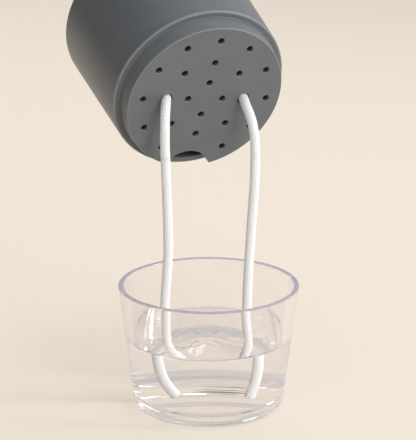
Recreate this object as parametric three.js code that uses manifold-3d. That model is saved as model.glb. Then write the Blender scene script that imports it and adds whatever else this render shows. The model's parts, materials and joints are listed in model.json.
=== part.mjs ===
// Self-watering pot: a drilled pot over a clear reservoir cup, with one cotton wick threaded
// through the pot's base so that both of its ends hang into the cup. Millimetres, +Z up.
// The origin is the centre of the cup's foot. The pot is lifted off its seat and tipped back,
// so that its base faces forward (-Y) and down.
import * as THREE from 'three';
import { mergeVertices } from 'three/addons/utils/BufferGeometryUtils.js';
import Module from 'manifold-3d';

// Reservoir cup
const RESERVOIR_HEIGHT = 81;
const RIM_RADIUS = 57.5;
const FOOT_DRAFT = 10; // how far the outer wall draws in from rim to foot
const RESERVOIR_WALL = 3.2;
const RESERVOIR_FLOOR = 7;
const RESERVOIR_HEEL = 7.5; // rounding between wall and foot
const RESERVOIR_INNER_HEEL = 5;
const RIM_ROUND = 0.7;

// Pot, in its own upright frame: the base's underside is at height 0
const POT_HEIGHT = 95.5;
const POT_MOUTH_RADIUS = 59.4;
const POT_WALL = 2.2;
const POT_FLOOR = 2.5;
const COLLAR_HEIGHT = 11.2;
const COLLAR_DRAFT = 1.2; // how far the collar draws in from the ledge to the base
const BASE_ROUND = 0.8;
const SHOULDER_ROUND = 1.4;
const LIP_ROUND = 0.9;

// How the pot sits in the cup's rim
const COLLAR_CLEARANCE = 1.8; // between the collar and the inside of the rim
const RIM_SHOW = 1; // how far the rim stands out past the pot's shoulder
const SEAT_GAP = 0.3; // between the ledge and the rim when the pot is seated

// Drain holes, in three rings about the pot's axis
const DRAIN_DIAMETER = 4.2;
const INNER_RING = { radius: 11.7, count: 4 };
const MIDDLE_RING_COUNT = 8;
const OUTER_RING_COUNT = 12;
const OUTER_RING_MARGIN = 9.3; // from the base's edge to the outer ring
const WICK_SPACING = 52.4; // between the two holes of the middle ring that the wick goes through
const WICK_HOLE_DIAMETER = 7.8;

// Notch through the edge of the base, and the filling duct, which stands over it and keeps the soil out
const NOTCH_RADIUS = 16.5;
const NOTCH_DEPTH = 11.8; // from the base's edge to the deepest point of the notch
const NOTCH_LIP = 0.4; // height of the collar that is left under the ledge
const NOTCH_RIDGE = 0.6; // thickness of that lip, behind which the notch opens into the duct
const DUCT_STEP = 0.4; // how far the duct stands back from the notch's edge
const DUCT_WALL = 2;
const DUCT_DROP = 8; // from the pot's lip down to the top of the duct
const DUCT_CLEARANCE = 0.3; // between the duct and the pot's wall and floor

// How the pot is held over the cup
const LIFT = new THREE.Vector3(-2, 0, 131); // from the seat to where the pot is held
const TILT = THREE.MathUtils.degToRad(67.74);
const LEAN = THREE.MathUtils.degToRad(23.18); // heading of the level line that the pot tips about
const PATTERN_TURN = THREE.MathUtils.degToRad(5.3); // wick holes against that level line

// Wick: a braided cotton cord
const WICK_DIAMETER = 6;

// The wick on the pot's floor, in the pot's frame: distance along the line of the wick holes
// from the middle of the floor, and height. The far half mirrors this one.
const BRIDGE_ROUTE = [
  [0, 8.6], [4.6, 9.7], [9, 12.4], [13.6, 14.4], [18.6, 14.2], [22.8, 11.4], [25.4, 6.6], [26.3, 0.5],
];

// The two hanging stretches, from the base's holes to the floor of the cup
const LEFT_ROUTE = [
  [-26.1, -12.9, 202.2], [-26.4, -16.7, 198.5], [-26.6, -19.2, 193.8], [-26.7, -20.2, 188],
  [-26.8, -20.2, 182], [-26.8, -19.5, 174.5], [-26.5, -18.4, 166], [-26.2, -16.6, 153],
  [-25.8, -14.2, 136.5], [-25.4, -11.8, 118], [-25.5, -9.6, 103], [-26.5, -7.4, 88], [-27.6, -5.2, 72],
  [-28.1, -3.5, 54], [-27.9, -2.4, 41], [-26.8, -1.6, 29.5], [-23.9, -1, 19.6], [-19.8, -0.6, 12.8],
  [-17.1, -0.4, 9.3],
];
const RIGHT_ROUTE = [
  [22, 10.2, 198.4], [23.3, 5.6, 195.5], [25.4, 1.3, 191.2], [27.2, -1.6, 185.6], [28.4, -3.5, 178.5],
  [28.9, -4.5, 169], [28.9, -4.8, 158], [28.6, -4.5, 148], [27.7, -3.6, 133.3], [26.6, -2.4, 116],
  [25.7, -1.3, 100], [25, -0.4, 85.5], [24.5, 0.4, 70], [24.6, 0.8, 54], [25.6, 0.9, 42],
  [26.1, 0.7, 30.5], [24.9, 0.2, 20], [22.4, -0.5, 11], [21.5, -0.8, 8.3],
];

// How finely round forms are cut into flat faces
const LATHE_SIDES = 64;
const ARC_STEPS = 3;
const HOLE_SIDES = 12;
const WICK_SIDES = 10;
const WICK_STEPS = 30; // on each hanging stretch
const BRIDGE_STEPS = 24;

// Finishes
const greyPlastic = new THREE.MeshStandardMaterial({ color: 0x6f7274, roughness: 0.55, metalness: 0 });
const clearPlastic = new THREE.MeshStandardMaterial({
  color: 0xe9e9f2,
  roughness: 0.05,
  metalness: 0,
  transparent: true,
  opacity: 0.35,
});
const cotton = new THREE.MeshStandardMaterial({ color: 0xf4f3ee, roughness: 0.9, metalness: 0 });

const wasm = await Module();
wasm.setup();

// The points of an outline through corners [radius, height, rounding], each rounded one as an arc.
function roundedOutline(corners) {
  const points = [];
  corners.forEach(([radius, height, rounding = 0], i) => {
    const corner = new THREE.Vector2(radius, height);
    if (rounding === 0) {
      points.push(corner);
      return;
    }
    const back = new THREE.Vector2(corners[i - 1][0], corners[i - 1][1]).sub(corner).normalize();
    const ahead = new THREE.Vector2(corners[i + 1][0], corners[i + 1][1]).sub(corner).normalize();
    const half = Math.acos(back.dot(ahead)) / 2;
    const inward = back.clone().add(ahead).normalize();
    const centre = corner.clone().addScaledVector(inward, rounding / Math.sin(half));
    const start = corner.clone().addScaledVector(back, rounding / Math.tan(half)).sub(centre);
    const sweep = Math.sign(back.cross(ahead)) * (Math.PI - 2 * half);
    for (let step = 0; step <= ARC_STEPS; step += 1) {
      const spoke = start.clone().rotateAround(new THREE.Vector2(), (-sweep * step) / ARC_STEPS);
      points.push(spoke.add(centre));
    }
  });
  return points;
}

// A turned form about the Z axis.
function turned(corners) {
  return new THREE.LatheGeometry(roundedOutline(corners), LATHE_SIDES).rotateX(Math.PI / 2);
}

// A closed geometry as a solid that can be joined and cut, with its empty triangles left out.
function solidOf(geometry) {
  const bare = geometry.clone();
  bare.deleteAttribute('normal');
  bare.deleteAttribute('uv');
  const merged = mergeVertices(bare);
  const triangles = [];
  for (let i = 0; i < merged.index.count; i += 3) {
    const [a, b, c] = merged.index.array.slice(i, i + 3);
    if (a !== b && b !== c && c !== a) {
      triangles.push(a, b, c);
    }
  }
  return new wasm.Manifold(new wasm.Mesh({
    numProp: 3,
    vertProperties: new Float32Array(merged.attributes.position.array),
    triVerts: new Uint32Array(triangles),
  }));
}

function geometryOf(solid) {
  const cut = solid.getMesh();
  const geometry = new THREE.BufferGeometry();
  geometry.setAttribute('position', new THREE.BufferAttribute(cut.vertProperties, 3));
  geometry.setIndex(new THREE.BufferAttribute(cut.triVerts, 1));
  geometry.computeVertexNormals();
  return geometry;
}

// An upright drill of the given radius, from one height to another.
function drill(radius, x, y, bottom, top, sides) {
  const bit = new THREE.CylinderGeometry(radius, radius, top - bottom, sides).rotateX(Math.PI / 2);
  return solidOf(bit.translate(x, y, (bottom + top) / 2));
}

// A round cord along a route of points.
function cord(route, steps) {
  const section = new THREE.Shape();
  for (let side = 0; side < WICK_SIDES; side += 1) {
    const angle = (2 * Math.PI * side) / WICK_SIDES;
    const corner = [Math.cos(angle) * WICK_DIAMETER / 2, Math.sin(angle) * WICK_DIAMETER / 2];
    if (side === 0) {
      section.moveTo(...corner);
    } else {
      section.lineTo(...corner);
    }
  }
  section.closePath();
  const path = new THREE.CatmullRomCurve3(route.map((point) => new THREE.Vector3(...point)), false, 'centripetal');
  return new THREE.ExtrudeGeometry(section, { steps, extrudePath: path });
}

// The cup: a thick flat floor, a wall that widens to the rim, and both heels rounded.
function reservoirGeometry() {
  const slope = FOOT_DRAFT / RESERVOIR_HEIGHT;
  const innerFootRadius = RIM_RADIUS - FOOT_DRAFT - RESERVOIR_WALL + RESERVOIR_FLOOR * slope;
  return turned([
    [0, 0],
    [RIM_RADIUS - FOOT_DRAFT, 0, RESERVOIR_HEEL],
    [RIM_RADIUS, RESERVOIR_HEIGHT, RIM_ROUND],
    [RIM_RADIUS - RESERVOIR_WALL, RESERVOIR_HEIGHT, RIM_ROUND],
    [innerFootRadius, RESERVOIR_FLOOR, RESERVOIR_INNER_HEEL],
    [0, RESERVOIR_FLOOR],
  ]);
}

// The pot: a base and collar that drop into the rim, a ledge that seats on it, and the soil room.
const collarRadius = RIM_RADIUS - RESERVOIR_WALL - COLLAR_CLEARANCE;
const baseRadius = collarRadius - COLLAR_DRAFT;
const shoulderRadius = RIM_RADIUS - RIM_SHOW;
const wickReach = WICK_SPACING / 2;
const notchCentre = baseRadius - NOTCH_DEPTH + NOTCH_RADIUS;

function potShell() {
  return solidOf(turned([
    [0, 0],
    [baseRadius, 0, BASE_ROUND],
    [collarRadius, COLLAR_HEIGHT],
    [shoulderRadius, COLLAR_HEIGHT, SHOULDER_ROUND],
    [POT_MOUTH_RADIUS, POT_HEIGHT, LIP_ROUND],
    [POT_MOUTH_RADIUS - POT_WALL, POT_HEIGHT, LIP_ROUND],
    [shoulderRadius - POT_WALL, COLLAR_HEIGHT + POT_WALL],
    [collarRadius - POT_WALL, COLLAR_HEIGHT + POT_WALL],
    [baseRadius - POT_WALL, POT_FLOOR],
    [0, POT_FLOOR],
  ]));
}

// The filling duct: a round channel that stands on the pot's floor over the notch, against the wall.
function ductGeometry() {
  const top = POT_HEIGHT - DUCT_DROP;
  const innerRadius = NOTCH_RADIUS + DUCT_STEP;
  const outerRadius = innerRadius + DUCT_WALL;
  const shell = turned([
    [innerRadius, 0],
    [outerRadius, 0],
    [outerRadius, POT_HEIGHT],
    [innerRadius, POT_HEIGHT],
    [innerRadius, 0],
  ]).translate(0, notchCentre, 0);
  const inset = POT_WALL + DUCT_CLEARANCE;
  const mouthSlope = (POT_MOUTH_RADIUS - shoulderRadius) / (POT_HEIGHT - COLLAR_HEIGHT);
  const room = turned([
    [0, POT_FLOOR + DUCT_CLEARANCE],
    [baseRadius - inset, POT_FLOOR + DUCT_CLEARANCE],
    [collarRadius - inset, COLLAR_HEIGHT + inset],
    [shoulderRadius - inset, COLLAR_HEIGHT + inset],
    [POT_MOUTH_RADIUS - inset - mouthSlope * DUCT_DROP, top],
    [0, top],
  ]);
  return geometryOf(solidOf(shell).intersect(solidOf(room)));
}

function potGeometry() {
  const below = -POT_FLOOR;
  const above = 2 * POT_FLOOR;
  let pot = potShell();
  const passageTop = COLLAR_HEIGHT + 2 * POT_WALL;
  const notch = drill(NOTCH_RADIUS, 0, notchCentre, below, COLLAR_HEIGHT - NOTCH_LIP, LATHE_SIDES);
  const passage = drill(NOTCH_RADIUS, 0, notchCentre, below, passageTop, LATHE_SIDES);
  const behindRidge = drill(collarRadius - NOTCH_RIDGE, 0, 0, below, passageTop, LATHE_SIDES);
  pot = pot.subtract(notch).subtract(passage.intersect(behindRidge));
  const rings = [
    INNER_RING,
    { radius: wickReach, count: MIDDLE_RING_COUNT },
    { radius: baseRadius - OUTER_RING_MARGIN, count: OUTER_RING_COUNT },
  ];
  rings.forEach(({ radius, count }, ring) => {
    for (let hole = 0; hole < count; hole += 1) {
      const angle = (2 * Math.PI * hole) / count;
      const forWick = ring === 1 && hole % (count / 2) === 0;
      const inNotch = ring === 2 && hole === count / 4;
      if (!inNotch) {
        const diameter = forWick ? WICK_HOLE_DIAMETER : DRAIN_DIAMETER;
        const [x, y] = [radius * Math.cos(angle), radius * Math.sin(angle)];
        pot = pot.subtract(drill(diameter / 2, x, y, below, above, HOLE_SIDES));
      }
    }
  });
  return geometryOf(pot);
}

// The wick's run over the pot's floor, from one hole to the other.
function bridgeGeometry() {
  const half = BRIDGE_ROUTE.map(([along, height]) => [along, 0, height]);
  const mirrored = half.slice(1).reverse().map(([along, across, height]) => [-along, across, height]);
  return cord([...mirrored, ...half], BRIDGE_STEPS);
}

function piece(name, geometry, material) {
  const mesh = new THREE.Mesh(geometry, material);
  mesh.name = name;
  return mesh;
}

// The pot is turned so that its notch is lowest, tipped about the level line, and set over the cup.
const turnedPot = new THREE.Group();
turnedPot.rotation.z = PATTERN_TURN;
turnedPot.add(piece('pot', potGeometry(), greyPlastic));
turnedPot.add(piece('filling_duct', ductGeometry(), greyPlastic));
turnedPot.add(piece('wick_bridge', bridgeGeometry(), cotton));

const tippedPot = new THREE.Group();
tippedPot.rotation.x = -TILT;
tippedPot.add(turnedPot);

const heldPot = new THREE.Group();
heldPot.rotation.z = LEAN;
heldPot.position.set(0, 0, RESERVOIR_HEIGHT + SEAT_GAP - COLLAR_HEIGHT).add(LIFT);
heldPot.add(tippedPot);

const selfWateringPot = new THREE.Group();
selfWateringPot.add(piece('reservoir', reservoirGeometry(), clearPlastic));
selfWateringPot.add(heldPot);
selfWateringPot.add(piece('wick_left', cord(LEFT_ROUTE, WICK_STEPS), cotton));
selfWateringPot.add(piece('wick_right', cord(RIGHT_ROUTE, WICK_STEPS), cotton));

export default selfWateringPot;
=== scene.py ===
# Self-watering pot: a grey drilled pot held over a clear cup of water, with a cotton wick hanging from
# its base into the cup. Metres, +Z up; the origin is the centre of the cup's foot.
import json
import math

import bmesh
import bpy
import numpy as np
from mathutils import Matrix, Vector, noise
from mathutils.geometry import interpolate_bezier


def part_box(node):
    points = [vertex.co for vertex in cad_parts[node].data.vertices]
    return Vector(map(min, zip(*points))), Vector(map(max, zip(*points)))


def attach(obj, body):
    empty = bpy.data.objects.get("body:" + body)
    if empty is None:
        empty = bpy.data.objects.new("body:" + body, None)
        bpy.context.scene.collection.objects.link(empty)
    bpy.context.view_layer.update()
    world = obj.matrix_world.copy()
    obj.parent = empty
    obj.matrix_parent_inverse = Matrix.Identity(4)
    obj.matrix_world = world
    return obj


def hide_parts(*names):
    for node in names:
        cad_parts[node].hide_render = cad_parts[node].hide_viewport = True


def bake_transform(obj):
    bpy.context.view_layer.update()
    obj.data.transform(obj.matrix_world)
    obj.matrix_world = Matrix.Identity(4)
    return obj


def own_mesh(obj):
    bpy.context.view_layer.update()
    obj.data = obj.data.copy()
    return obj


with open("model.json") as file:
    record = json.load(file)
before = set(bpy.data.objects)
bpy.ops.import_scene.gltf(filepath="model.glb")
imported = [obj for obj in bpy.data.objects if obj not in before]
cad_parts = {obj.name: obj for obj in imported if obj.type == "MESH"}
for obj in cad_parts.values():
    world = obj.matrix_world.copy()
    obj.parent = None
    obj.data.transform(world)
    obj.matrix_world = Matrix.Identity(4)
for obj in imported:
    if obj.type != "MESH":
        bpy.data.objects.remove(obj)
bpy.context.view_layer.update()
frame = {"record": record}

scene = bpy.context.scene
scene.view_settings.view_transform = "Standard"

# Camera: in front of the cup and a little above it, level from side to side, with a long lens.
# The picture is 416 pixels wide and 440 high, and its longer side takes the sensor's width.
PICTURE_HEIGHT = 440
FOCAL_PIXELS = 2000
CAMERA_PITCH = 16.28
CAMERA_PLACE = (-0.0004, -1.2087, 0.4761)


def add_object(name, data):
    """A new object in the scene, at the origin."""
    item = bpy.data.objects.new(name, data)
    scene.collection.objects.link(item)
    return item


camera_data = bpy.data.cameras.new("camera")
camera_data.sensor_width = 36.0
camera_data.lens = FOCAL_PIXELS * camera_data.sensor_width / PICTURE_HEIGHT
camera = add_object("camera", camera_data)
camera.location = CAMERA_PLACE
camera.rotation_euler = (math.radians(90 - CAMERA_PITCH), 0, 0)
scene.camera = camera


# Hanging wick ends: both ends of one soft cotton cord, braided in lengthwise columns of slanted
# stitches. Each comes out of a large hole in the pot's base, hangs into the cup and is cut off square.
WICK_DIAMETER = 0.006
WICK_HOLE_REACH = 0.0262  # from the pot's axis to the middle of a wick hole
LEFT_ROUTE = [
    (-0.0261, -0.0129, 0.2022), (-0.0264, -0.0167, 0.1985), (-0.0266, -0.0192, 0.1938),
    (-0.0267, -0.0202, 0.1880), (-0.0268, -0.0202, 0.1820), (-0.0268, -0.0195, 0.1745),
    (-0.0265, -0.0184, 0.1660), (-0.0262, -0.0166, 0.1530), (-0.0258, -0.0142, 0.1365),
    (-0.0254, -0.0118, 0.1180), (-0.0255, -0.0096, 0.1030), (-0.0265, -0.0074, 0.0880),
    (-0.0276, -0.0052, 0.0720), (-0.0281, -0.0035, 0.0540), (-0.0279, -0.0024, 0.0410),
    (-0.0268, -0.0016, 0.0295), (-0.0239, -0.0010, 0.0196), (-0.0198, -0.0006, 0.0128),
    (-0.0171, -0.0004, 0.0093),
]
RIGHT_ROUTE = [
    (0.0220, 0.0102, 0.1984), (0.0233, 0.0056, 0.1955), (0.0254, 0.0013, 0.1912),
    (0.0272, -0.0016, 0.1856), (0.0284, -0.0035, 0.1785), (0.0289, -0.0045, 0.1690),
    (0.0289, -0.0048, 0.1580), (0.0286, -0.0045, 0.1480), (0.0277, -0.0036, 0.1333),
    (0.0266, -0.0024, 0.1160), (0.0257, -0.0013, 0.1000), (0.0250, -0.0004, 0.0855),
    (0.0245, 0.0004, 0.0700), (0.0246, 0.0008, 0.0540), (0.0256, 0.0009, 0.0420),
    (0.0261, 0.0007, 0.0305), (0.0249, 0.0002, 0.0200), (0.0224, -0.0005, 0.0110),
    (0.0215, -0.0008, 0.0083),
]
# where each end starts, inside the thickness of the pot's floor
LEFT_LEAD_IN = (-0.0260, -0.0098, 0.2040)
RIGHT_LEAD_IN = (0.0213, 0.0124, 0.1997)
BEND_LENGTH = 0.040  # the stretch under the hole that bends as the pot tips

SPAN_POINTS = 90  # on the curve between two points of a route
RING_STEP = 0.00028  # between two rings of the cord's mesh
BRAID_COLUMNS = 16
COLUMN_SIDES = 6
COLUMN_FULLNESS = 0.5  # power of the half wave across a column: the lower, the fuller
STITCH_LENGTH = 0.0018
STITCH_SLANT = 0.95  # how many stitches a slanted one climbs across its column
STITCH_FLOOR = 0.30  # relief that is left between two stitches of a column
BRAID_RELIEF = 0.00028
RELIEF_AT_DIAMETER = 0.8  # relief of the stitches that lie on the cord's diameter
# rings of the cut end: share of the radius, and how far it stands out
CUT_RINGS = [(0.96, 0.00015), (0.80, 0.00035), (0.52, 0.00045), (0.24, 0.00050)]
CUT_RELIEF = 0.4  # relief of the deepest fibres in the cut end
FIBRE_SCATTER = 0.00007
FIBRE_SEED = 5


def smooth_line(route):
    """Centres of a cord's rings on the smooth curve through a route, and how far along it each lies."""
    points = [Vector(point) for point in route]
    points = [2 * points[0] - points[1], *points, 2 * points[-1] - points[-2]]
    curve = []
    for before, start, end, after in zip(points, points[1:], points[2:], points[3:]):
        spans = ((before, start), (start, end), (end, after))
        gap_in, gap, gap_out = (math.sqrt((b - a).length) for a, b in spans)
        leave = (start - before) / gap_in - (end - before) / (gap_in + gap) + (end - start) / gap
        reach = (end - start) / gap - (after - start) / (gap + gap_out) + (after - end) / gap_out
        handles = start + leave * gap / 3, end - reach * gap / 3
        curve += interpolate_bezier(start, *handles, end, SPAN_POINTS)[:-1]
    curve = np.array([*curve, points[-2]])
    travelled = np.concatenate([[0], np.cumsum(np.linalg.norm(np.diff(curve, axis=0), axis=1))])
    marks = np.linspace(0, travelled[-1], round(travelled[-1] / RING_STEP) + 1)
    return np.stack([np.interp(marks, travelled, curve[:, k]) for k in range(3)], axis=1), marks


def carried_frames(centres):
    """A cord's direction at each of its rings, and two directions across it, carried without twisting."""
    along = np.gradient(centres, axis=0)
    along /= np.linalg.norm(along, axis=1, keepdims=True)
    side = np.cross(along[0], (0, 1, 0))
    sides = []
    for direction in along:
        side = side - direction * (side @ direction)
        side /= np.linalg.norm(side)
        sides.append(side)
    sides = np.array(sides)
    return along, sides, np.cross(along, sides)


def braided_cord(name, centres, marks, frames, cut_end):
    """A braided cord along rings of centres; a cut end is domed and rough, and other ends are flat."""
    along, sides, ups = frames
    count = BRAID_COLUMNS * COLUMN_SIDES

    # rings with the relief of the braid: columns side by side, slanted to the left and right by turns
    turn = np.arange(count) / count
    column, across = np.divmod(turn * BRAID_COLUMNS, 1)
    across -= 0.5
    slant = np.where(column % 2 == 0, STITCH_SLANT, -STITCH_SLANT)
    rise = np.cos(np.pi * across) ** COLUMN_FULLNESS
    stitch = 0.5 + 0.5 * np.cos(2 * np.pi * (marks[:, None] / STITCH_LENGTH + slant * across))
    relief = rise * (STITCH_FLOOR + (1 - STITCH_FLOOR) * stitch)
    radius = WICK_DIAMETER / 2 - BRAID_RELIEF * (RELIEF_AT_DIAMETER - relief)
    spokes = np.cos(2 * np.pi * turn)[None, :, None] * sides[:, None, :]
    spokes = spokes + np.sin(2 * np.pi * turn)[None, :, None] * ups[:, None, :]
    rings = list(centres[:, None, :] + radius[:, :, None] * spokes)
    distances = list(marks)
    reliefs = list(relief)
    if cut_end:
        scatter = np.random.default_rng(FIBRE_SEED)
        for share, out in CUT_RINGS:
            ring = centres[-1] + share * radius[-1][:, None] * spokes[-1]
            ring = ring + along[-1] * (out + scatter.normal(0, FIBRE_SCATTER, (count, 1)))
            rings.append(ring)
            distances.append(marks[-1] + out)
            reliefs.append(CUT_RELIEF + (1 - CUT_RELIEF) * scatter.random(count))

    # four-sided faces from ring to ring, and one face over each end
    verts = np.concatenate(rings)
    ring_of = np.arange(len(rings) - 1)[:, None] * count
    here = np.arange(count)[None, :]
    ahead = (here + 1) % count
    quads = [ring_of + here, ring_of + ahead, ring_of + count + ahead, ring_of + count + here]
    faces = np.stack(quads, axis=2).reshape(-1, 4).tolist()
    first_ring = list(range(count))[::-1]
    last_ring = [len(verts) - count + k for k in range(count)]
    mesh = bpy.data.meshes.new(name)
    mesh.from_pydata(verts.tolist(), [], [*faces, first_ring, last_ring])
    mesh.polygons.foreach_set("use_smooth", [True] * len(faces) + [False, cut_end])

    # a UV map of the cord unrolled, in metres, and the relief as a value at each point
    left, low = np.meshgrid(turn, distances[:-1])
    right, high = np.meshgrid(turn + 1 / count, distances[1:])
    corners = [np.stack(pair, axis=2) for pair in ((left, low), (right, low), (right, high), (left, high))]
    unrolled = np.array([math.pi * WICK_DIAMETER, 1])
    coordinates = (np.stack(corners, axis=2) * unrolled).reshape(-1, 2)
    coordinates = np.concatenate([coordinates, np.zeros((2 * count, 2))])
    mesh.uv_layers.new(name="braid").uv.foreach_set("vector", coordinates.ravel())
    shade = mesh.attributes.new("relief", "FLOAT", "POINT")
    shade.data.foreach_set("value", np.concatenate(reliefs))
    return add_object(name, mesh)


def new_material(name):
    """A new material, with its nodes, a function that joins two sockets, and its shader."""
    material = bpy.data.materials.new(name)
    material.use_nodes = True
    tree = material.node_tree
    return material, tree.nodes, tree.links.new, tree.nodes["Principled BSDF"]


def cotton_yarn():
    """Off-white cotton: painted shade in the grooves between the stitches, and fine fibres along them."""
    material, nodes, join, shader = new_material("cotton_yarn")
    relief = nodes.new("ShaderNodeAttribute")
    relief.attribute_name = "relief"
    # painted shade: the lower the braid's relief, the darker the yarn
    painted_groove_shade = nodes.new("ShaderNodeValToRGB")
    painted_groove_shade.color_ramp.elements[0].color = (0.48, 0.48, 0.48, 1)
    painted_groove_shade.color_ramp.elements[1].position = 0.75
    painted_groove_shade.color_ramp.elements[1].color = (0.82, 0.83, 0.84, 1)
    along_braid = nodes.new("ShaderNodeUVMap")
    along_braid.uv_map = "braid"
    stretch = nodes.new("ShaderNodeMapping")
    stretch.inputs["Scale"].default_value = (5200, 1500, 1)
    fibres = nodes.new("ShaderNodeTexNoise")
    fibres.inputs["Scale"].default_value = 1
    fibres.inputs["Detail"].default_value = 3
    raised = nodes.new("ShaderNodeBump")
    raised.inputs["Strength"].default_value = 0.5
    raised.inputs["Distance"].default_value = 0.00006
    join(relief.outputs["Fac"], painted_groove_shade.inputs["Fac"])
    join(painted_groove_shade.outputs["Color"], shader.inputs["Base Color"])
    join(along_braid.outputs["UV"], stretch.inputs["Vector"])
    join(stretch.outputs["Vector"], fibres.inputs["Vector"])
    join(fibres.outputs["Fac"], raised.inputs["Height"])
    join(raised.outputs["Normal"], shader.inputs["Normal"])
    shader.inputs["Roughness"].default_value = 0.88
    shader.inputs["Specular IOR Level"].default_value = 0.25
    shader.inputs["Sheen Weight"].default_value = 0.15
    shader.inputs["Subsurface Weight"].default_value = 0.5
    shader.inputs["Subsurface Radius"].default_value = (1, 0.95, 0.88)
    shader.inputs["Subsurface Scale"].default_value = 0.0025
    return material


joints = {joint["name"]: joint for joint in frame["record"]["behaviour"]["joints"]}
tilt = joints["pot_tilt"]
PATTERN_HEADING = math.radians(28.48)  # of the line of wick holes, with the pot upright
POT_PLACE = (
    Matrix.Translation(tilt["pos_m"])
    @ Matrix.Rotation(-math.radians(tilt["range_deg"][1]), 4, Vector(tilt["axis"]))
    @ Matrix.Rotation(PATTERN_HEADING, 4, "Z")
)
cotton = cotton_yarn()
for side, hand, lead_in, route in (
    ("left", -1, LEFT_LEAD_IN, LEFT_ROUTE),
    ("right", 1, RIGHT_LEAD_IN, RIGHT_ROUTE),
):
    centres, marks = smooth_line([lead_in, *route])
    frames = carried_frames(centres)
    split = int(np.searchsorted(marks, BEND_LENGTH))

    bend = braided_cord(f"wick_{side}_bend", centres[:split + 1], marks[:split + 1],
                        [part[:split + 1] for part in frames], cut_end=False)
    bend.data.materials.append(cotton)
    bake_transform(bend)
    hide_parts(f"wick_{side}")

    end = braided_cord(f"wick_{side}_end", centres[split:], marks[split:],
                       [part[split:] for part in frames], cut_end=True)
    end.data.materials.append(cotton)
    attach(end, "wicks")
    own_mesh(end)
    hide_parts(f"wick_{side}")


# Wick bridge: the middle of the same cord, threaded through both holes and arched over the pot's
# floor between them, where the soil lies on it. It stays with the pot.
BRIDGE_ROUTE = [  # reach from the pot's axis and height, from the middle to one hole
    (0, 0.0086), (0.0046, 0.0097), (0.0090, 0.0124), (0.0136, 0.0144), (0.0186, 0.0142), (0.0228, 0.0114),
    (0.0254, 0.0066), (0.0263, 0.0005),
]
half = [POT_PLACE @ Vector((reach, 0, height)) for reach, height in BRIDGE_ROUTE]
mirrored = [POT_PLACE @ Vector((-reach, 0, height)) for reach, height in BRIDGE_ROUTE[:0:-1]]
centres, marks = smooth_line([*mirrored, *half])
bridge = braided_cord("wick_bridge_braid", centres, marks, carried_frames(centres), cut_end=False)
bridge.data.materials.append(cotton)
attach(bridge, "pot")
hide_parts("wick_bridge")


# Pot: one satin grey moulding. A flat base and collar that drop into the cup's rim, a ledge that sits
# on it, and a tapered wall. Its base is drilled with three rings of drain holes, and notched at one edge.
BASE_RADIUS = 0.0513
COLLAR_RADIUS = 0.0525
SHOULDER_RADIUS = 0.0565
MOUTH_RADIUS = 0.0594
COLLAR_HEIGHT = 0.0112
POT_HEIGHT = 0.0955
POT_WALL = 0.0022
POT_FLOOR = 0.0025
BASE_ROUND = 0.0008
COLLAR_ROUND = 0.0005  # in the corner between collar and ledge
SHOULDER_ROUND = 0.0014
LIP_ROUND = 0.0009
INNER_ROUND = 0.0010  # on the inside of the ledge
FLOOR_ROUND = 0.0012
TURNED_STEPS = 192
DRAIN_STEPS = 48
DRAIN_RADIUS = 0.0021
WICK_HOLE_RADIUS = 0.0039
DRAIN_RINGS = [(0.0117, 4), (WICK_HOLE_REACH, 8), (0.0420, 12)]  # radius and number of holes
WICK_RING = 1
NOTCHED_RING = 2
HOLE_EDGE = 0.0006  # rounding of the holes' edges
FLANGE_REACH = 2 * HOLE_EDGE  # how far a drill's flange stands out under the base
FLANGE_GAP = 0.04 * HOLE_EDGE  # from the base to the flange, at the hole
FLANGE_RIM_GAP = 0.12 * HOLE_EDGE  # and at the flange's rim
FLANGE_BOTTOM = -0.002
NOTCH_RADIUS = 0.0165
NOTCH_CENTRE = 0.0560
NOTCH_HEIGHT = 0.0108
NOTCH_RIDGE = 0.0006  # thickness of the lip that is left under the ledge, before the opening into the duct
PASSAGE_EASE = 0.0001  # how much narrower that opening is than the notch
CLOSE = 1e-6  # places that are nearer than this count as one
MERGE_DISTANCE = 1e-7
LEVEL = 0.99999  # a level face's normal points up or down by more than this
NEARLY_LEVEL = 0.999
CREASE_ANGLE = math.radians(35)
# outer edges sharper than this get a painted highlight
HIGHLIGHT_EDGE_ANGLE = math.radians(12)


def turned(corners, steps=TURNED_STEPS):
    """A closed form turned about Z from the corners of an outline.

    A corner is its radius and height and, where it is rounded, the rounding's radius and segments.
    """
    form = bmesh.new()
    outline = [form.verts.new((radius, 0, height)) for radius, height, *_ in corners]
    for start, end in zip(outline, outline[1:]):
        form.edges.new((start, end))
    places = [vert.co.copy() for vert in outline]
    for index, (_, _, *rounded) in enumerate(corners):
        if rounded:
            rounding, segments = rounded
            back = places[index - 1] - places[index]
            ahead = places[index + 1] - places[index]
            setback = rounding / math.tan(back.angle(ahead) / 2)
            bmesh.ops.bevel(form, geom=[outline[index]], offset=setback, offset_type="OFFSET",
                            segments=segments, profile=0.5, affect="VERTICES", material=-1)
    bmesh.ops.spin(form, geom=form.verts[:] + form.edges[:], cent=(0, 0, 0), axis=(0, 0, 1),
                   angle=2 * math.pi, steps=steps, use_merge=True)
    bmesh.ops.remove_doubles(form, verts=form.verts, dist=MERGE_DISTANCE)
    bmesh.ops.dissolve_verts(form, verts=[vert for vert in form.verts if vert.co.xy.length < CLOSE])
    bmesh.ops.recalc_face_normals(form, faces=form.faces)
    return form


def as_piece(name, form):
    """The finished form as an object."""
    mesh = bpy.data.meshes.new(name)
    form.to_mesh(mesh)
    form.free()
    return add_object(name, mesh)


def cut_form(body, tool, operation):
    """A form with another one cut from it, or cut down to another one."""
    target, cutter = as_piece("form_to_cut", body), as_piece("cutting_form", tool)
    cut = target.modifiers.new("cut", "BOOLEAN")
    cut.operation = operation
    cut.solver = "EXACT"
    cut.object = cutter
    finished = bmesh.new()
    finished.from_object(target, bpy.context.evaluated_depsgraph_get())
    for scrap in (target, cutter):
        scrap_mesh = scrap.data
        bpy.data.objects.remove(scrap)
        bpy.data.meshes.remove(scrap_mesh)
    return finished


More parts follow.
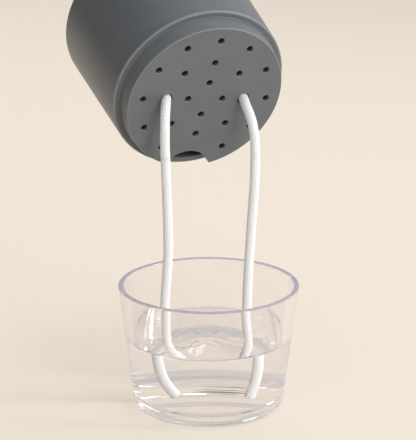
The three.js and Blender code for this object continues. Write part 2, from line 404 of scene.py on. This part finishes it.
def shade_moulding(form):
    """Smooth faces, with creases at sharp edges and around the flat faces that are square to Z."""
    for face in form.faces:
        face.smooth = True
    form.normal_update()
    for edge in form.edges:
        flat = [abs(face.normal.z) > LEVEL for face in edge.link_faces]
        on_border = any(flat) and not all(flat)
        edge.smooth = not on_border and edge.calc_face_angle(0) < CREASE_ANGLE


def mark_edges(form):
    """A mark on the points of rounded and sharp outer edges, which a painted highlight makes lighter."""
    painted_edge_highlight = form.verts.layers.float.new("painted_edge_highlight")
    for edge in form.edges:
        if edge.is_convex and edge.calc_face_angle(0) > HIGHLIGHT_EDGE_ANGLE:
            for vert in edge.verts:
                vert[painted_edge_highlight] = all(abs(face.normal.z) < NEARLY_LEVEL for face in vert.link_faces)


def hole_drill(radius, x, y, top, steps):
    """A drill that rounds the edge of the hole that it makes in the base's underside."""
    drill = turned([
        (0, FLANGE_BOTTOM),
        (radius + FLANGE_REACH, FLANGE_BOTTOM),
        (radius + FLANGE_REACH, -FLANGE_RIM_GAP),
        (radius, -FLANGE_GAP, HOLE_EDGE, 5),
        (radius, top),
        (0, top),
    ], steps)
    bmesh.ops.translate(drill, verts=drill.verts, vec=(x, y, 0))
    return drill


def plug(radius, bottom, top, x=0, y=0):
    """A plain round plug that stands upright."""
    form = turned([(0, bottom), (radius, bottom), (radius, top), (0, top)])
    bmesh.ops.translate(form, verts=form.verts, vec=(x, y, 0))
    return form


def gather(forms):
    """Several separate forms as one."""
    joined = bmesh.new()
    for form in forms:
        scrap = bpy.data.meshes.new("gathered_form")
        form.to_mesh(scrap)
        form.free()
        joined.from_mesh(scrap)
        bpy.data.meshes.remove(scrap)
    return joined


def grey_moulding():
    """Satin grey plastic: a fine moulded grain, and a slight unevenness of tone and gloss."""
    material, nodes, join, shader = new_material("grey_moulding")
    place = nodes.new("ShaderNodeTexCoord")
    cloud = nodes.new("ShaderNodeTexNoise")
    cloud.inputs["Scale"].default_value = 60
    cloud.inputs["Detail"].default_value = 4
    tone = nodes.new("ShaderNodeValToRGB")
    tone.color_ramp.elements[0].position = 0.3
    tone.color_ramp.elements[0].color = (0.100, 0.109, 0.118, 1)
    tone.color_ramp.elements[1].position = 0.7
    tone.color_ramp.elements[1].color = (0.111, 0.120, 0.129, 1)
    # painted highlight: the marked outer edges are mixed toward a lighter grey
    painted_edge_highlight = nodes.new("ShaderNodeAttribute")
    painted_edge_highlight.attribute_name = "painted_edge_highlight"
    highlight_amount = nodes.new("ShaderNodeMapRange")
    highlight_amount.inputs["To Max"].default_value = 0.25
    lighter = nodes.new("ShaderNodeMix")
    lighter.data_type = "RGBA"
    lighter.inputs["B"].default_value = (0.32, 0.335, 0.35, 1)
    gloss = nodes.new("ShaderNodeMapRange")
    gloss.inputs["To Min"].default_value = 0.34
    gloss.inputs["To Max"].default_value = 0.44
    grain = nodes.new("ShaderNodeTexNoise")
    grain.inputs["Scale"].default_value = 2600
    grain.inputs["Detail"].default_value = 2
    raised = nodes.new("ShaderNodeBump")
    raised.inputs["Strength"].default_value = 0.12
    raised.inputs["Distance"].default_value = 0.00008
    join(place.outputs["Object"], cloud.inputs["Vector"])
    join(place.outputs["Object"], grain.inputs["Vector"])
    join(cloud.outputs["Fac"], tone.inputs["Fac"])
    join(cloud.outputs["Fac"], gloss.inputs["Value"])
    join(painted_edge_highlight.outputs["Fac"], highlight_amount.inputs["Value"])
    join(highlight_amount.outputs["Result"], lighter.inputs["Factor"])
    join(tone.outputs["Color"], lighter.inputs["A"])
    join(lighter.outputs["Result"], shader.inputs["Base Color"])
    join(gloss.outputs["Result"], shader.inputs["Roughness"])
    join(grain.outputs["Fac"], raised.inputs["Height"])
    join(raised.outputs["Normal"], shader.inputs["Normal"])
    shader.inputs["Specular IOR Level"].default_value = 0.5
    return material


drills = [hole_drill(NOTCH_RADIUS, 0, NOTCH_CENTRE, NOTCH_HEIGHT, TURNED_STEPS)]
for ring, (ring_radius, count) in enumerate(DRAIN_RINGS):
    for number in range(count):
        angle = 2 * math.pi * number / count
        in_notch = ring == NOTCHED_RING and number == count // 4
        for_wick = ring == WICK_RING and number % (count // 2) == 0
        if not in_notch:
            radius = WICK_HOLE_RADIUS if for_wick else DRAIN_RADIUS
            x, y = ring_radius * math.cos(angle), ring_radius * math.sin(angle)
            drills.append(hole_drill(radius, x, y, 2 * POT_FLOOR, DRAIN_STEPS))
shell = turned([
    (0, 0),
    (BASE_RADIUS, 0, BASE_ROUND, 5),
    (COLLAR_RADIUS, COLLAR_HEIGHT, COLLAR_ROUND, 4),
    (SHOULDER_RADIUS, COLLAR_HEIGHT, SHOULDER_ROUND, 7),
    (MOUTH_RADIUS, POT_HEIGHT, LIP_ROUND, 5),
    (MOUTH_RADIUS - POT_WALL, POT_HEIGHT, LIP_ROUND, 5),
    (SHOULDER_RADIUS - POT_WALL, COLLAR_HEIGHT + POT_WALL, INNER_ROUND, 4),
    (COLLAR_RADIUS - POT_WALL, COLLAR_HEIGHT + POT_WALL, INNER_ROUND, 4),
    (BASE_RADIUS - POT_WALL, POT_FLOOR, FLOOR_ROUND, 4),
    (0, POT_FLOOR),
])
passage_top = COLLAR_HEIGHT + 2 * POT_WALL
passage = plug(NOTCH_RADIUS - PASSAGE_EASE, -POT_FLOOR, passage_top, y=NOTCH_CENTRE)
passage = cut_form(passage, plug(COLLAR_RADIUS - NOTCH_RIDGE, -2 * POT_FLOOR, 2 * passage_top), "INTERSECT")
pot_form = cut_form(cut_form(shell, passage, "DIFFERENCE"), gather(drills), "DIFFERENCE")
shade_moulding(pot_form)
mark_edges(pot_form)
bmesh.ops.transform(pot_form, matrix=POT_PLACE, verts=pot_form.verts)
pot = as_piece("pot_moulding", pot_form)
grey_plastic = grey_moulding()
pot.data.materials.append(grey_plastic)
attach(pot, "pot")
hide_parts("pot")


# Filling duct: a half-round channel of the same grey plastic, standing on the pot's floor over the
# notch and against the wall, so that water can be poured past the soil into the cup.
DUCT_INNER_RADIUS = 0.0169
DUCT_WALL = 0.0020
DUCT_TOP = 0.0875
DUCT_LIP_ROUND = 0.0008
DUCT_GAP = 0.0003  # to the pot's wall and floor
DUCT_STEPS = 64
duct_radius = DUCT_INNER_RADIUS + DUCT_WALL
duct = bmesh.new()
section = [duct.verts.new((radius, 0, height)) for radius, height in (
    (DUCT_INNER_RADIUS, 0), (duct_radius, 0), (duct_radius, DUCT_TOP), (DUCT_INNER_RADIUS, DUCT_TOP),
)]
duct.faces.new(section)
lip = section[2:]
bmesh.ops.bevel(duct, geom=lip, offset=DUCT_LIP_ROUND, offset_type="OFFSET", segments=4, profile=0.5,
                affect="VERTICES", material=-1)
bmesh.ops.rotate(duct, verts=duct.verts, cent=(0, 0, 0), matrix=Matrix.Rotation(math.pi, 3, "Z"))
bmesh.ops.spin(duct, geom=duct.faces[:], cent=(0, 0, 0), axis=(0, 0, 1), angle=math.pi, steps=DUCT_STEPS)
bmesh.ops.translate(duct, verts=duct.verts, vec=(0, NOTCH_CENTRE, 0))
bmesh.ops.remove_doubles(duct, verts=duct.verts, dist=MERGE_DISTANCE)
bmesh.ops.recalc_face_normals(duct, faces=duct.faces)
inset = POT_WALL + DUCT_GAP
room = turned([
    (0, POT_FLOOR + DUCT_GAP),
    (BASE_RADIUS - inset, POT_FLOOR + DUCT_GAP, FLOOR_ROUND, 4),
    (COLLAR_RADIUS - inset, COLLAR_HEIGHT + inset),
    (SHOULDER_RADIUS - inset, COLLAR_HEIGHT + inset),
    (MOUTH_RADIUS - inset, POT_HEIGHT),
    (0, POT_HEIGHT),
])
duct_form = cut_form(duct, room, "INTERSECT")
shade_moulding(duct_form)
mark_edges(duct_form)
bmesh.ops.transform(duct_form, matrix=POT_PLACE, verts=duct_form.verts)
filling_duct = as_piece("filling_channel", duct_form)
filling_duct.data.materials.append(grey_plastic)
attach(filling_duct, "pot")
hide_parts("filling_duct")


# Drain mat: a disc of felt on the pot's floor, cut out for the duct and for the two stretches of the
# wick, which hold it down. It keeps the soil out of the drain holes; its near-black tone is painted
# shade, and is what shows dark through them.
MAT_RADIUS = 0.0475
MAT_THICKNESS = 0.0018
MAT_GAP = 0.0001  # to the pot's floor
MAT_UNDER_ROUND = 0.0003
MAT_TOP_ROUND = 0.0005
MAT_RINGS = 40
MAT_NAP = 0.00018  # how uneven the felt's surface is
NAP_SCALE = 900


def painted_shade_felt():
    """Nearly black felt, painted shade behind the drain holes: loose fibres, uneven in tone and height,
    hardly any gloss.
    """
    material, nodes, join, shader = new_material("painted_shade_felt")
    place = nodes.new("ShaderNodeTexCoord")
    fibres = nodes.new("ShaderNodeTexNoise")
    fibres.inputs["Scale"].default_value = 1400
    fibres.inputs["Detail"].default_value = 4
    # painted shade: a near-black tone, so that the drain holes show dark
    tone = nodes.new("ShaderNodeValToRGB")
    tone.color_ramp.elements[0].position = 0.35
    tone.color_ramp.elements[0].color = (0.005, 0.005, 0.005, 1)
    tone.color_ramp.elements[1].position = 0.7
    tone.color_ramp.elements[1].color = (0.022, 0.020, 0.018, 1)
    raised = nodes.new("ShaderNodeBump")
    raised.inputs["Strength"].default_value = 0.7
    raised.inputs["Distance"].default_value = 0.0003
    join(place.outputs["Object"], fibres.inputs["Vector"])
    join(fibres.outputs["Fac"], tone.inputs["Fac"])
    join(fibres.outputs["Fac"], raised.inputs["Height"])
    join(tone.outputs["Color"], shader.inputs["Base Color"])
    join(raised.outputs["Normal"], shader.inputs["Normal"])
    shader.inputs["Roughness"].default_value = 0.95
    shader.inputs["Specular IOR Level"].default_value = 0.1
    shader.inputs["Sheen Weight"].default_value = 0.02
    return material


mat_bottom = POT_FLOOR + MAT_GAP
mat_top = mat_bottom + MAT_THICKNESS
mat_form = turned([
    (0, mat_bottom),
    (MAT_RADIUS, mat_bottom, MAT_UNDER_ROUND, 2),
    (MAT_RADIUS, mat_top, MAT_TOP_ROUND, 3),
    *((MAT_RADIUS * step / MAT_RINGS, mat_top) for step in range(MAT_RINGS - 1, -1, -1)),
])
cut_outs = [plug(WICK_HOLE_RADIUS, 0, 2 * mat_top, x=hand * WICK_HOLE_REACH) for hand in (-1, 1)]
cut_outs.append(plug(duct_radius + DUCT_GAP, 0, 2 * mat_top, y=NOTCH_CENTRE))
mat_form = cut_form(mat_form, gather(cut_outs), "DIFFERENCE")
shade_moulding(mat_form)
for vert in mat_form.verts:
    if vert.co.z > mat_top - CLOSE:
        vert.co.z += MAT_NAP * noise.noise(vert.co * NAP_SCALE)
bmesh.ops.transform(mat_form, matrix=POT_PLACE, verts=mat_form.verts)
drain_mat = as_piece("drain_mat", mat_form)
drain_mat.data.materials.append(painted_shade_felt())
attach(drain_mat, "pot")


# Reservoir: a clear cup moulded in one with a thick floor, polished inside and out, standing on its flat
# foot. Its faint lavender tint shows where it is seen edge on. The rim and the roundings between wall and
# floor carry darker, bluer copies of that tint: painted shade for the dark lines seen there. The top of
# its floor lies under water, where the plastic hardly mirrors.
CUP_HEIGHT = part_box("reservoir")[1].z
RIM_RADIUS = 0.0575
FOOT_RADIUS = 0.0475
CUP_WALL = 0.0032
CUP_FLOOR = 0.0070
CUP_HEEL = 0.0075  # rounding between wall and foot
CUP_INNER_HEEL = 0.0050
RIM_ROUND = 0.0007
CUP_SLOPE = (RIM_RADIUS - FOOT_RADIUS) / CUP_HEIGHT
CUP_IOR = 1.45
CUP_SHADOW_EDGE = (0.35, 0.35, 0.40, 1)
CUP_FACE_TINT = (0.985, 0.98, 0.99, 1)
CUP_EDGE_TINT = (0.62, 0.62, 0.90, 1)
# tint face on, tint edge on, and bounces before light passes straight through
CUP_FINISHES = {
    "clear_outside": (CUP_FACE_TINT, CUP_EDGE_TINT, 2),
    # rim and both heels: darker copies of the tint, painted shade
    "clear_rim": ((0.40, 0.41, 0.66, 1), (0.14, 0.15, 0.38, 1), 2),
    "clear_inside": (CUP_FACE_TINT, CUP_EDGE_TINT, 3),
    "clear_heel": ((0.72, 0.77, 0.88, 1), (0.22, 0.24, 0.36, 1), 2),
    "clear_inner_heel": ((0.66, 0.69, 0.82, 1), (0.40, 0.43, 0.60, 1), 2),
    "clear_floor": (CUP_FACE_TINT, CUP_EDGE_TINT, 0),
}


def clear_body(name, ior, face_tint, edge_tint, shadow_edge, bounces):
    """A clear body that bends light, is tinted where it is seen edge on, and casts a light shadow.

    Lamp light and the light that dull surfaces gather pass straight through, and so does light that is
    caught inside the body, after some bounces. With no bounces all light passes straight through.
    """
    material, nodes, join, shader = new_material(name)
    shader.inputs["Roughness"].default_value = 0.015
    shader.inputs["IOR"].default_value = ior
    shader.inputs["Transmission Weight"].default_value = 1
    facing = nodes.new("ShaderNodeLayerWeight")
    facing.inputs["Blend"].default_value = 0.3
    tint = nodes.new("ShaderNodeValToRGB")
    tint.color_ramp.elements[0].position = 0.35
    tint.color_ramp.elements[0].color = face_tint
    tint.color_ramp.elements[1].color = edge_tint
    shadow_tone = nodes.new("ShaderNodeValToRGB")
    shadow_tone.color_ramp.elements[0].position = 0.35
    shadow_tone.color_ramp.elements[0].color = (1, 1, 1, 1)
    shadow_tone.color_ramp.elements[1].color = shadow_edge
    see_through = nodes.new("ShaderNodeBsdfTransparent")
    choice = nodes.new("ShaderNodeMixShader")
    path = nodes.new("ShaderNodeLightPath")
    grazing = nodes.new("ShaderNodeMath")
    grazing.operation = "MULTIPLY"
    caught = nodes.new("ShaderNodeMath")
    caught.operation = "GREATER_THAN"
    caught.inputs[1].default_value = bounces - 0.5
    from_lamp = nodes.new("ShaderNodeMath")
    from_lamp.operation = "MAXIMUM"
    straight = nodes.new("ShaderNodeMath")
    straight.operation = "MAXIMUM"
    join(path.outputs["Glossy Depth"], caught.inputs[0])
    join(path.outputs["Is Shadow Ray"], from_lamp.inputs[0])
    join(path.outputs["Is Diffuse Ray"], from_lamp.inputs[1])
    join(from_lamp.outputs["Value"], straight.inputs[0])
    join(caught.outputs["Value"], straight.inputs[1])
    join(facing.outputs["Facing"], tint.inputs["Fac"])
    join(tint.outputs["Color"], shader.inputs["Base Color"])
    join(facing.outputs["Facing"], grazing.inputs[0])
    join(path.outputs["Is Shadow Ray"], grazing.inputs[1])
    join(grazing.outputs["Value"], shadow_tone.inputs["Fac"])
    join(shadow_tone.outputs["Color"], see_through.inputs["Color"])
    join(straight.outputs["Value"], choice.inputs["Fac"])
    join(shader.outputs["BSDF"], choice.inputs[1])
    join(see_through.outputs["BSDF"], choice.inputs[2])
    join(choice.outputs["Shader"], nodes["Material Output"].inputs["Surface"])
    return material


cup_form = turned([
    (0, 0),
    (FOOT_RADIUS, 0, CUP_HEEL, 14),
    (RIM_RADIUS, CUP_HEIGHT, RIM_ROUND, 5),
    (RIM_RADIUS - CUP_WALL, CUP_HEIGHT, RIM_ROUND, 5),
    (FOOT_RADIUS - CUP_WALL + CUP_FLOOR * CUP_SLOPE, CUP_FLOOR, CUP_INNER_HEEL, 12),
    (0, CUP_FLOOR),
])
shade_moulding(cup_form)
finishes = list(CUP_FINISHES)
for face in cup_form.faces:
    middle = face.calc_center_median()
    is_low = middle.z < CUP_FLOOR + CUP_INNER_HEEL
    faces_inward = face.normal.xy.dot(middle.xy) < -CLOSE
    finish = "clear_outside"
    if middle.z > CUP_HEIGHT - RIM_ROUND:
        finish = "clear_rim"
    elif faces_inward:
        finish = "clear_inner_heel" if is_low else "clear_inside"
    elif face.normal.z > NEARLY_LEVEL:
        finish = "clear_floor"
    elif is_low and face.normal.z > -NEARLY_LEVEL:
        finish = "clear_heel"
    face.material_index = finishes.index(finish)
cup = as_piece("reservoir_cup", cup_form)
for name, (face_tint, edge_tint, bounces) in CUP_FINISHES.items():
    material = clear_body(name, CUP_IOR, face_tint, edge_tint, CUP_SHADOW_EDGE, bounces)
    cup.data.materials.append(material)
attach(cup, "reservoir")
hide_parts("reservoir")


# Water: stands in the cup to a little over half its height, wets the wall and climbs it by a narrow
# meniscus; low ripples run out from both wicks. The meniscus carries a darker lavender tint, painted shade
# for the line at the waterline. Its sides and bottom reach a little into the cup's wall and floor, so that
# no film of air shows between them.
WATER_LEVEL = 0.0470
MENISCUS = 0.0016
WALL_OVERLAP = 0.0003
RIPPLE_CENTRES = (-0.028, 0.025)  # along X, where the wicks go through the surface
RIPPLE_LENGTH = 0.010
RIPPLE_FADE = 0.035
RIPPLE_HEIGHT = 0.00026
RIPPLE_RINGS = 60
WATERLINE_LEAN = 0.98  # the normals of the waterline's faces point up or down by less than this
WATER_IOR = 1.20  # under real water's 1.33, so that the wicks' images stay near the wicks
WATER_SHADOW_EDGE = (0.85, 0.86, 0.87, 1)
WATER_FACE_TINT = (1, 1, 1, 1)
WATER_EDGE_TINT = (0.72, 0.74, 0.87, 1)
WATER_FINISHES = {  # laid out like the cup's finishes
    "still_water": (WATER_FACE_TINT, WATER_EDGE_TINT, 2),
    # painted shade: a darker lavender tint on the meniscus faces
    "waterline": ((0.70, 0.70, 0.86, 1), (0.50, 0.50, 0.70, 1), 2),
    "water_bottom": (WATER_FACE_TINT, WATER_EDGE_TINT, 0),
}


def inner_radius(height):
    """The radius of the cup's inside at a height."""
    return FOOT_RADIUS - CUP_WALL + height * CUP_SLOPE


surface_radius = inner_radius(WATER_LEVEL) - WALL_OVERLAP / 2
open_water = surface_radius - 2 * MENISCUS
water_form = turned([
    (0, CUP_FLOOR - WALL_OVERLAP),
    (inner_radius(CUP_FLOOR) + WALL_OVERLAP, CUP_FLOOR - WALL_OVERLAP, CUP_INNER_HEEL, 12),
    (inner_radius(WATER_LEVEL + MENISCUS) + WALL_OVERLAP, WATER_LEVEL + MENISCUS),
    (surface_radius, WATER_LEVEL, MENISCUS, 8),
    *((open_water * step / RIPPLE_RINGS, WATER_LEVEL) for step in range(RIPPLE_RINGS, -1, -1)),
])
shade_moulding(water_form)
for vert in water_form.verts:
    if abs(vert.co.z - WATER_LEVEL) < CLOSE and vert.co.xy.length < open_water:
        calm = min(1, (open_water - vert.co.xy.length) / RIPPLE_LENGTH)
        for centre in RIPPLE_CENTRES:
            spread = math.hypot(vert.co.x - centre, vert.co.y)
            wave = math.cos(2 * math.pi * spread / RIPPLE_LENGTH) * math.exp(-spread / RIPPLE_FADE)
            vert.co.z += RIPPLE_HEIGHT * calm * wave
finishes = list(WATER_FINISHES)
for face in water_form.faces:
    finish = "still_water"
    if face.normal.z < -NEARLY_LEVEL:
        finish = "water_bottom"
    elif face.calc_center_median().z > WATER_LEVEL and abs(face.normal.z) < WATERLINE_LEAN:
        finish = "waterline"
    face.material_index = finishes.index(finish)
water = as_piece("water", water_form)
for name, (face_tint, edge_tint, bounces) in WATER_FINISHES.items():
    material = clear_body(name, WATER_IOR, face_tint, edge_tint, WATER_SHADOW_EDGE, bounces)
    water.data.materials.append(material)
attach(water, "reservoir")


# Studio: a wide plain warm floor, one soft lamp like a low sun from the right, six light panels, and
# a dome that is brighter toward the front and right. The eye sees the dome as a plain pale backdrop,
# also through the cup and the water.
FLOOR_HALF = 6.0
FOOT_GAP = 0.0002  # a film of air under the cup's polished foot
PALE_TONE = (0.80, 0.71, 0.61, 1)
DOME_BRIGHT_SIDE = Vector((0.85, -0.25, 0.46)).normalized()
SUN_DIRECTION = Vector((-0.86, 0.12, -0.48))
PANEL_AIM = Vector((0, 0, 0.12))
# place, width, height, spread in degrees, watts, and whether the panel shows in mirrors and clear bodies
PANELS = {
    "window_panel": ((2.30, -1.10, 1.70), 1.4, 1.8, 120, 1.4, True),
    "front_panel": ((1.60, -2.70, 0.70), 1.6, 1.2, 50, 4.7, False),
    "top_panel": ((0.50, -0.70, 2.60), 0.9, 0.9, 120, 2.3, True),
    "side_panel": ((1.70, 1.10, 0.80), 0.4, 1.6, 60, 0.6, True),
    "back_panel": ((0.20, 2.30, 1.20), 2.4, 0.9, 70, 3.4, False),
    "glint_panel": ((-0.95, 2.00, 1.05), 0.45, 0.30, 180, 2.0, True),
}
floor_form = bmesh.new()
bmesh.ops.create_grid(floor_form, x_segments=1, y_segments=1, size=FLOOR_HALF)
bmesh.ops.translate(floor_form, verts=floor_form.verts, vec=(0, 0, -FOOT_GAP))
floor = as_piece("studio_floor", floor_form)
material, nodes, join, shader = new_material("floor_paint")
shader.inputs["Base Color"].default_value = PALE_TONE
shader.inputs["Roughness"].default_value = 0.9
shader.inputs["Specular IOR Level"].default_value = 0.1
floor.data.materials.append(material)

world = bpy.data.worlds.new("studio_dome")
scene.world = world
world.use_nodes = True
nodes, join = world.node_tree.nodes, world.node_tree.links.new
dome_light = nodes["Background"]
dome_light.inputs["Color"].default_value = (0.97, 0.985, 1, 1)
toward = nodes.new("ShaderNodeTexCoord")
facing_window = nodes.new("ShaderNodeVectorMath")
facing_window.operation = "DOT_PRODUCT"
facing_window.inputs[1].default_value = DOME_BRIGHT_SIDE
brightness = nodes.new("ShaderNodeMapRange")
brightness.inputs["From Min"].default_value = -0.4
brightness.inputs["To Min"].default_value = 0.17
brightness.inputs["To Max"].default_value = 1.15
join(toward.outputs["Generated"], facing_window.inputs[0])
join(facing_window.outputs["Value"], brightness.inputs["Value"])
join(brightness.outputs["Result"], dome_light.inputs["Strength"])
dome_seen = nodes.new("ShaderNodeBackground")
dome_seen.inputs["Color"].default_value = PALE_TONE
dome_seen.inputs["Strength"].default_value = 1
choice = nodes.new("ShaderNodeMixShader")
path = nodes.new("ShaderNodeLightPath")
through_glass = nodes.new("ShaderNodeMath")
through_glass.operation = "GREATER_THAN"
through_glass.inputs[1].default_value = 0.5
unscattered = nodes.new("ShaderNodeMath")
unscattered.operation = "LESS_THAN"
unscattered.inputs[1].default_value = 0.5
both = nodes.new("ShaderNodeMath")
both.operation = "MULTIPLY"
backdrop = nodes.new("ShaderNodeMath")
backdrop.operation = "MAXIMUM"
join(path.outputs["Transmission Depth"], through_glass.inputs[0])
join(path.outputs["Diffuse Depth"], unscattered.inputs[0])
join(through_glass.outputs["Value"], both.inputs[0])
join(unscattered.outputs["Value"], both.inputs[1])
join(path.outputs["Is Camera Ray"], backdrop.inputs[0])
join(both.outputs["Value"], backdrop.inputs[1])
join(backdrop.outputs["Value"], choice.inputs["Fac"])
join(dome_light.outputs["Background"], choice.inputs[1])
join(dome_seen.outputs["Background"], choice.inputs[2])
join(choice.outputs["Shader"], nodes["World Output"].inputs["Surface"])

sun_data = bpy.data.lights.new("low_sun", "SUN")
sun_data.energy = 0.78
sun_data.angle = math.radians(10)
sun_data.color = (1, 0.975, 0.94)
sun = add_object("low_sun", sun_data)
sun.rotation_euler = SUN_DIRECTION.to_track_quat("-Z", "Y").to_euler()
for name, (place, width, height, spread, power, shows) in PANELS.items():
    panel_data = bpy.data.lights.new(name, "AREA")
    panel_data.shape = "ELLIPSE"
    panel_data.size = width
    panel_data.size_y = height
    panel_data.spread = math.radians(spread)
    panel_data.energy = power
    panel = add_object(name, panel_data)
    panel.location = place
    panel.rotation_euler = (PANEL_AIM - Vector(place)).to_track_quat("-Z", "Y").to_euler()
    panel.visible_glossy = shows
    panel.visible_transmission = shows
